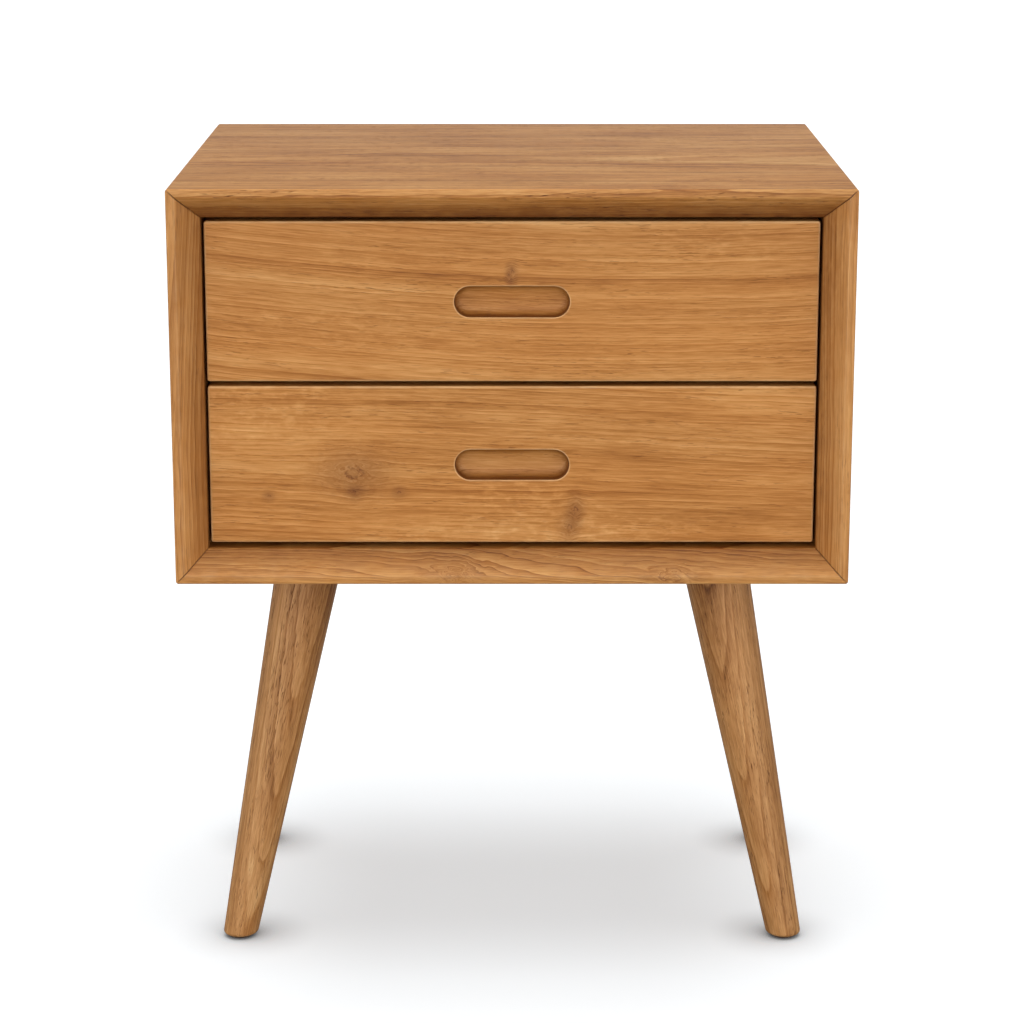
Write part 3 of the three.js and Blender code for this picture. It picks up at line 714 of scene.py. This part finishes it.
def leg_tree():
    """A cone about a leaning axis, cut level at both ends, with a bore and a rounded foot.
    The rings run from the bottom of the bore, out over the top and down to the foot."""
    edge_rows, bore_rows = 8.0, 2.0
    tree, given = new_group("tapered_leg", {"Vector": ["Foot", "Top"], "Float": [
        "Foot Radius", "Top Radius", "Foot Height", "Top Height", "Foot Edge", "Bore Radius", "Bore Depth",
    ], "Int": ["Sides", "Rows"], "Material": ["Material"]}, {"Geometry": ["Mesh"]}, "GeometryNodeTree")
    tube = add(tree, "GeometryNodeMeshCylinder", {
        "Vertices": given["Sides"], "Side Segments": given["Rows"], "Radius": 1.0, "Depth": 1.0,
    }, fill_type="NGON").outputs["Mesh"]
    px, py, pz = parts(tree, add(tree, "GeometryNodeInputPosition").outputs[0])
    row = maths(tree, "ROUND", maths(tree, "MULTIPLY", maths(tree, "SUBTRACT", 0.5, pz), given["Rows"]))

    axis = vectors(tree, "SUBTRACT", given["Top"], given["Foot"])
    length = vectors(tree, "LENGTH", axis)
    ahead = vectors(tree, "NORMALIZE", axis)
    u = vectors(tree, "NORMALIZE", vectors(tree, "CROSS_PRODUCT", ahead, (0.0, 1.0, 0.0)))
    v = vectors(tree, "CROSS_PRODUCT", ahead, u)
    outward = vectors(tree, "ADD", scaled(tree, u, px), scaled(tree, v, py))
    climb_ahead, climb_outward = parts(tree, ahead)[2], parts(tree, outward)[2]
    taper = maths(tree, "DIVIDE", maths(tree, "SUBTRACT", given["Top Radius"], given["Foot Radius"]), length)

    # the outer skin: from the top height down to the foot, then round the foot's edge
    shaft_rows = maths(tree, "SUBTRACT", given["Rows"], edge_rows + bore_rows)
    skin_row = maths(tree, "SUBTRACT", row, bore_rows)
    down = maths(tree, "DIVIDE", skin_row, shaft_rows, clamp=True)
    round_share = maths(tree, "DIVIDE", maths(tree, "SUBTRACT", skin_row, shaft_rows), edge_rows,
                        clamp=True)
    angle = maths(tree, "MULTIPLY", round_share, math.pi / 2)
    edge_height = maths(tree, "ADD", given["Foot Height"], given["Foot Edge"])
    height = maths(tree, "SUBTRACT", eased(tree, down, 0.0, 1.0, given["Top Height"], edge_height),
                   maths(tree, "MULTIPLY", given["Foot Edge"], maths(tree, "SINE", angle)))
    inset = maths(tree, "MULTIPLY", given["Foot Edge"],
                  maths(tree, "SUBTRACT", 1.0, maths(tree, "COSINE", angle)))

    def from_foot(along, wide):
        """The point so far along the axis from the foot and so far out from the axis."""
        return vectors(tree, "ADD", given["Foot"],
                       vectors(tree, "ADD", scaled(tree, ahead, along), scaled(tree, outward, wide)))

    def on_skin(level, radius, slope):
        """The point where a ray down the skin meets a level."""
        climb = maths(tree, "MULTIPLY", climb_outward, radius)
        pace = maths(tree, "MULTIPLY_ADD", climb_outward, slope, climb_ahead)
        along = maths(tree, "DIVIDE", maths(tree, "SUBTRACT", level, climb), pace)
        return from_foot(along, maths(tree, "MULTIPLY_ADD", along, slope, radius))

    skin = on_skin(height, given["Foot Radius"], taper)
    middle = vectors(tree, "ADD", given["Foot"],
                     scaled(tree, ahead, maths(tree, "DIVIDE", height, climb_ahead)))
    inward = vectors(tree, "NORMALIZE", vectors(tree, "SUBTRACT", middle, skin))
    skin = vectors(tree, "ADD", skin, scaled(tree, inward, inset))
    mouth = on_skin(given["Top Height"], given["Bore Radius"], 0.0)
    bore_end = from_foot(maths(tree, "SUBTRACT", length, given["Bore Depth"]), given["Bore Radius"])
    first = maths(tree, "LESS_THAN", row, 0.5)
    in_bore = maths(tree, "LESS_THAN", row, 1.5)
    bore = add(tree, "ShaderNodeMix", {0: first, 4: mouth, 5: bore_end}, data_type="VECTOR").outputs[1]
    final = add(tree, "ShaderNodeMix", {0: in_bore, 4: skin, 5: bore}, data_type="VECTOR").outputs[1]
    shaped = add(tree, "GeometryNodeSetPosition", {"Geometry": tube, "Position": final}).outputs[0]
    worn = add(tree, "GeometryNodeStoreNamedAttribute", {
        "Geometry": shaped, "Name": "wear",
        "Value": maths(tree, "SINE", maths(tree, "MULTIPLY", round_share, math.pi)),
    }, data_type="FLOAT", domain="POINT").outputs[0]
    real = add(tree, "GeometryNodeRealizeInstances", {"Geometry": worn}).outputs[0]
    done = add(tree, "GeometryNodeSetMaterial", {"Geometry": real, "Material": given["Material"]})
    add(tree, "NodeGroupOutput", {0: done.outputs[0]})
    return tree


leg_maker = leg_tree()
leg_tones = [
    (0.00, (102, 60, 22)), (0.22, (142, 92, 46)), (0.42, (172, 119, 67)),
    (0.58, (188, 135, 82)), (0.76, (204, 152, 98)), (1.00, (222, 176, 122)),
]
leg_seeds = {"front_left": 31.0, "front_right": 44.0, "back_left": 57.0, "back_right": 63.0}
for corner, seed in leg_seeds.items():
    node = "leg_" + corner
    low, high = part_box(node)
    mirror = Vector((-1 if "left" in corner else 1, -1 if "front" in corner else 1, 1))
    foot, top = foot_place * mirror, top_place * mirror
    leg_wood = wood("teak_" + node, top - foot, (0.3 * mirror.x, -1, 0),
                    foot + Vector((0.02 * mirror.x, 0.045, 0)), leg_tones, seed,
                    ring=0.0030, sway=0.007, lines=1.5, pores=2.0, cloud=0.6, fibre=0.95, bump=0.0002,
                    tone_and_light_tint=(0.985, 0.985, 0.97))
    bm = grown(bpy.data.meshes.new("start"), leg_maker, {
        "Foot": foot, "Top": top, "Foot Radius": foot_radius, "Top Radius": top_radius,
        "Foot Height": low.z, "Top Height": high.z, "Foot Edge": foot_edge,
        "Bore Radius": bolt_bore, "Bore Depth": bolt_depth, "Sides": 64, "Rows": 40,
        "Material": leg_wood,
    })
    make_piece(bm, "turned_" + node, leg_wood, "case", node)

# ---------------------------------------------------------------- leg bolts and inserts
# A steel hanger bolt runs from each leg into a brass insert in the bottom board. Both are out
# of sight and keep their CAD shape.
brass = metal("insert_brass", (190, 148, 76), (206, 168, 96), 0.36)
for node, shown in frame["nodes"].items():
    if node.startswith("leg_bolt_"):
        shown.material_slots[0].material = zinc
    if node.startswith("leg_insert_"):
        shown.material_slots[0].material = brass

# ---------------------------------------------------------------- foot glides
# A disc of dark brown felt, 19 mm across and 2 mm thick, is stuck under each foot. Its edges
# are rounded over a little.
glide_edge, pile_height = 0.0006, 0.0004
felt, felt_tree, felt_shader = new_material("brown_felt")
fuzz = noise(felt_tree, add(felt_tree, "ShaderNodeTexCoord").outputs["Object"], 1800.0, 4.0)
pile = add(felt_tree, "ShaderNodeBump", {"Height": fuzz, "Distance": pile_height})
feed(felt_tree, felt_shader, {
    "Sheen Weight": 0.5, "Roughness": 0.95, "Normal": pile.outputs[0],
    "Base Color": ramp(felt_tree, fuzz, [(0.3, (46, 32, 22)), (0.7, (88, 64, 46))]),
})
for corner in leg_seeds:
    low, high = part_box("foot_glide_" + corner)
    centre, radius, thick = (low + high) / 2, (high.x - low.x) / 2, high.z - low.z
    edge = [(radius - glide_edge * (1 - math.sin(t)), glide_edge * (1 - math.cos(t)))
            for t in (0, 0.5, 1.05, math.pi / 2)]
    profile = edge + [(r, thick - z) for r, z in reversed(edge)]
    bm = bmesh.new()
    bm.from_mesh(turned(profile, 40))
    bm.transform(Matrix.Translation((centre.x, centre.y, low.z)))
    make_piece(bm, "felt_glide_" + corner, felt, "case", "foot_glide_" + corner)

# ---------------------------------------------------------------- drawer faces
# Each face is one wide teak board, 22 mm thick, with all its edges rounded by hand. A finger
# pull with full round ends and a coved floor is routed into it. Knots were left in.
pull_width, pull_height, pull_depth, pull_cove = 0.085, 0.023, 0.011, 0.006
face_round, pull_lip, back_round, flat_border = 0.0018, 0.0008, 0.0006, 0.0004


def face_mesh(low, high):
    """A drawer face: closed rings from the back, over the edges, and down into the pull."""
    centre = (low + high) / 2
    columns = 14

    def rectangle(inset, y):
        ring = []
        wide, tall = (high.x - low.x) / 2, (high.z - low.z) / 2
        for sx, sz, start in ((1, 1, 0), (-1, 1, 90), (-1, -1, 180), (1, -1, 270)):
            radius = max(face_round - inset, 0.0001)
            for k in range(4):
                t = math.radians(start + 90 * k / 3)
                ring.append((centre.x + sx * (wide - inset - radius) + radius * math.cos(t), y,
                             centre.z + sz * (tall - inset - radius) + radius * math.sin(t)))
        return ring

    def stadium(grow, y):
        ring, radius = [], pull_height / 2 + grow
        straight = pull_width / 2 - pull_height / 2
        for side, start in ((1, -90), (-1, 90)):
            for k in range(columns + 1):
                t = math.radians(start + 180 * k / columns)
                ring.append((centre.x + side * straight + radius * math.cos(t), y,
                             centre.z + radius * math.sin(t)))
        return ring

    quarter = [math.radians(90 * k / 5) for k in range(6)]
    outer = [rectangle(back_round, high.y), rectangle(0, high.y - back_round)]
    outer += [rectangle(face_round * (1 - math.cos(t)), low.y + face_round * (1 - math.sin(t)))
              for t in quarter]
    outer.append(rectangle(face_round + flat_border, low.y))
    pocket = [stadium(pull_lip + flat_border, low.y)]
    pocket += [stadium(pull_lip * (1 - math.sin(t)), low.y + pull_lip * (1 - math.cos(t)))
               for t in quarter]
    pocket += [stadium(-pull_cove * (1 - math.cos(t)),
                       low.y + pull_depth - pull_cove * (1 - math.sin(t))) for t in quarter]
    bm = bmesh.new()
    # Outer rings: a paler band round the front edge as rubbed wear and painted highlight, and painted shade
    # on the edges that sit in the gaps.
    outer_wear_and_highlight = [0, 0, 0, 0.5, 1, 1, 0.5, 0, 0]
    loops = loft(bm, outer, outer_wear_and_highlight, [0.45, 0.45, 0.4, 0.2, 0, 0, 0, 0, 0], capped=False)
    bm.faces.new(loops[0])
    # In the pull: rubbed wear and painted highlight along the lip, and painted shade down the walls into the
    # cove.
    pull_wear_and_highlight = [0, 0.5, 1, 1, 1, 0.5, 0] + [0] * 6
    pull_painted_shade = [0, 0, 0, 0, 0, 0.3, 1.3, 1.6, 1.3, 0.9, 0.55, 0.25, 0.1]
    inner = loft(bm, pocket, pull_wear_and_highlight, pull_painted_shade, capped=False)
    bm.faces.new(inner[-1])
    bm.edges.ensure_lookup_table()
    rims = [edge for edge in bm.edges if len(edge.link_faces) == 1]
    bmesh.ops.triangle_fill(bm, edges=rims, use_beauty=True, normal=(0, -1, 0))
    return bm


face_woods = {
    "upper": dict(along=across, pith=(0, -0.10, 0.36), seed=71.3, ring=0.0034, sway=0.008, bend=0.17,
                  bend_middle=0.1, lines=0.95, knots=[
                      ((0.0005, 0, 0.5455), 0.0030, 0.5, 0.9), ((-0.0022, 0, 0.5435), 0.0022, 0.5, 0.8)]),
    "lower": dict(along=(1, 0.0, -0.03), pith=(0, -0.11, 0.24), seed=90.9, ring=0.0037, sway=0.010,
                  lines=0.9, cloud=0.6, curl=0.7, knots=[
                      ((-0.118, 0, 0.395), 0.0062, 1.5, 0.95), ((-0.1175, 0, 0.3835), 0.0026, 0.9, 0.95),
                      ((-0.181, 0, 0.3776), 0.0014, 1.2, 0.95), ((-0.084, 0, 0.3807), 0.0016, 1.2, 0.8),
                      ((0.0475, 0, 0.3665), 0.0042, 0.55, 0.95), ((0.043, 0, 0.354), 0.0040, 0.7, 0.9)]),
}
for level, look in face_woods.items():
    low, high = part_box("drawer_face_" + level)
    look["knots"] = [((x, low.y, z), *rest) for (x, _, z), *rest in look["knots"]]
    # The faces get a strong pale band round their edges and the pull's lip: rubbed wear and painted
    # highlight.
    face_wood = wood("teak_face_" + level, face=(0, -1, 0), tones=teak_tones, rub_and_highlight=0.85, fibre=0.7,
                     **look)
    make_piece(face_mesh(low, high), "routed_face_" + level, face_wood, level + "_drawer",
               "drawer_face_" + level)

# ---------------------------------------------------------------- drawer boxes
# The boxes are 12 mm pale hardwood with three dovetails at each corner. A 6 mm plywood base
# sits in grooves, and two screws from inside hold each face on.
long_screw = turned([(0.0004, -0.0207), (0.0018, -0.0180), (0.0020, -0.0030), (0.0040, -0.0003),
                     (0.0040, 0.0), (0.0036, 0.0001)], 24, recess=(0.0021, 0.00055, 0.0014))
for level, seed in (("lower", 101.0), ("upper", 131.0)):
    for number, (part, along, face) in enumerate([
        ("box_front", across, (0, 1, 0)), ("box_back", across, (0, 1, 0)),
        ("box_side_left", (0, 1, 0), (-1, 0, 0)), ("box_side_right", (0, 1, 0), (1, 0, 0)),
        ("base", across, upward),
    ]):
        node = f"drawer_{part}_{level}"
        low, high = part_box(node)
        kind, ring, stave, slot, ease = ("pale", 0.004, None, "box_wood", 0.0007)
        if part == "base":
            kind, ring, stave, slot, ease = ("ply", 0.008, (0.19, -0.6), "plywood", 0.0004)
        name = f"{kind}_{part}_{level}"
        pith = (low + high) / 2 - Vector(face) * 0.05 + Vector((0.01, 0.02, -0.06))
        box_wood = wood(name, along, face, pith, pale_tones, seed + 5 * number, ring=ring, sway=0.016,
                        lines=0.55, pores=0.5, stave=stave)
        softened(node, name, box_wood, ease)
    face_screws = [f"face_screw_{level}_left", f"face_screw_{level}_right"]
    places = []
    for node in face_screws:
        low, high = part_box(node)
        places.append((((low.x + high.x) / 2, high.y, (low.z + high.z) / 2), (0, 1, 0)))
    repeat("face_screws_" + level, long_screw, places, zinc, level + "_drawer", seed=11,
           nodes=face_screws)

# ---------------------------------------------------------------- drawer slides
# Ball-bearing slides in zinc-plated sheet. The outer channel is screwed to the case and the
# inner one to the drawer box. Between them a thin cage carries two rows of steel balls.
cage_metal = metal("cage_steel", (150, 146, 132), (172, 166, 148), 0.40)
ball_metal = metal("ball_steel", (206, 208, 212), (222, 222, 224), 0.24)
ball_radius, ball_pitch, balls_in_row, sheet = 0.0020, 0.0053, 13, 0.0012
pan_head = turned([(0.0019, -0.0004), (0.0034, 0.0), (0.0035, 0.0006), (0.0031, 0.0012),
                   (0.0024, 0.0016)], 24, recess=(0.0016, 0.00045, 0.0010))
flat_head = turned([(0.0018, -0.0010), (0.0033, -0.0001), (0.0033, 0.0001), (0.0029, 0.00015)], 24,
                   recess=(0.0016, 0.00045, 0.0009))
ball = turned([(ball_radius * math.sin(math.pi * k / 8), -ball_radius * math.cos(math.pi * k / 8))
               for k in (0.4, 1, 2, 3, 4, 5, 6, 7, 7.6)], 12)
for level in ("lower", "upper"):
    inner_places, outer_places, ball_places = [], [], []
    for side, sign in (("left", -1), ("right", 1)):
        for member, metal_of_it, slot, radius in (
            ("inner", zinc, "zinc_steel", 0.00035), ("outer", zinc, "zinc_steel", 0.00035),
            ("cage", cage_metal, "cage_steel", 0.00018),
        ):
            softened(f"slide_{member}_{level}_{side}", f"slide_{member}_channel_{level}_{side}",
                     metal_of_it, radius)
        inner_low, inner_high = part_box(f"slide_inner_{level}_{side}")
        outer_low, outer_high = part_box(f"slide_outer_{level}_{side}")
        cage_low, cage_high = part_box(f"slide_cage_{level}_{side}")
        middle = (inner_low.z + inner_high.z) / 2
        inner_web = min(abs(inner_low.x), abs(inner_high.x)) + sheet
        outer_web = max(abs(outer_low.x), abs(outer_high.x)) - sheet
        run = inner_high.y - inner_low.y
        for share in (0.08, 0.45, 0.9):
            y = inner_low.y + run * share
            inner_places.append(((sign * inner_web, y, middle), (sign, 0, 0)))
            outer_places.append(((sign * outer_web, y, middle), (-sign, 0, 0)))
        race = (inner_high.z - inner_low.z) / 2 + (outer_high.z - outer_low.z) / 2 - sheet
        outer_mouth = min(abs(outer_low.x), abs(outer_high.x))
        inner_mouth = max(abs(inner_low.x), abs(inner_high.x))
        between = sign * (outer_mouth + inner_mouth) / 2
        first = (cage_low.y + cage_high.y) / 2 - ball_pitch * (balls_in_row - 1) / 2
        for row in (-1, 1):
            for k in range(balls_in_row):
                ball_places.append(((between, first + ball_pitch * k, middle + row * race / 2), (0, 0, 1)))
    repeat("slide_inner_screws_" + level, pan_head, inner_places, zinc, level + "_drawer",
           seed=21)
    repeat("slide_outer_screws_" + level, flat_head, outer_places, zinc, "case", seed=27)
    repeat("slide_balls_" + level, ball, ball_places, ball_metal, level + "_ball_cages",
           seed=5)

# ---------------------------------------------------------------- floor and light
# A plain pale floor with no edge in sight, with a painted contact shadow right beside the feet. The room is
# brightest in front of the drawers, and there is one wide soft light overhead.
far, painted_shadow_reach, own_light = 30, 0.045, 0.33
floor_mesh = bpy.data.meshes.new("floor")
floor_mesh.from_pydata([(-far, -far, 0), (far, -far, 0), (far, far, 0), (-far, far, 0)], [], [(0, 1, 2, 3)])
floor = bpy.data.objects.new("floor", floor_mesh)
bpy.context.collection.objects.link(floor)
paper, paper_tree, paper_shader = new_material("pale_paper")
# Painted contact shadow: an occlusion darkening dims the floor's colour and its own glow near the feet.
painted_contact_shadow = add(paper_tree, "ShaderNodeAmbientOcclusion", {
    "Color": (0.885, 0.925, 0.955, 1), "Distance": painted_shadow_reach,
}, samples=8).outputs
seen = add(paper_tree, "ShaderNodeLightPath").outputs["Is Camera Ray"]
glow_under_painted_shadow = maths(paper_tree, "MULTIPLY", painted_contact_shadow["AO"], own_light)
feed(paper_tree, paper_shader, {
    "Base Color": mixed(paper_tree, seen, (0.3, 0.3, 0.3, 1), painted_contact_shadow["Color"]),
    "Emission Strength": maths(paper_tree, "MULTIPLY", seen, glow_under_painted_shadow),
    "Emission Color": (1, 1, 1, 1), "Roughness": 0.9, "Specular IOR Level": 0.0,
})
floor_mesh.materials.append(paper)
floor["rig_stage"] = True

world = bpy.data.worlds.new("room")
bpy.context.scene.world = world
world.use_nodes = True
room = world.node_tree
front_glow, side_glow, dome_glow = 3.6, 0.5, 0.25
_, toward_y, toward_z = parts(room, add(room, "ShaderNodeTexCoord").outputs["Generated"])
front = maths(room, "MAXIMUM", maths(room, "MULTIPLY", toward_y, -1.0), 0.0)
low_down = maths(room, "POWER", maths(room, "SUBTRACT", 1.0, maths(room, "ABSOLUTE", toward_z)), 2.0)
horizon = maths(room, "MULTIPLY", low_down, maths(room, "MULTIPLY_ADD", front, front_glow, side_glow))
glow = maths(room, "ADD", horizon, dome_glow)
backdrop = maths(room, "MAXIMUM", glow, add(room, "ShaderNodeLightPath").outputs["Is Camera Ray"])
feed(room, room.nodes["Background"], {"Strength": backdrop, "Color": (1, 1, 1, 1)})

overhead = bpy.data.objects.new("overhead", bpy.data.lights.new("overhead", "SUN"))
overhead.data.energy = 1.45
overhead.data.angle = math.radians(50)
overhead.rotation_euler = (math.radians(-2), 0, 0)
bpy.context.collection.objects.link(overhead)

# ---------------------------------------------------------------- sizes
low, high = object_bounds()
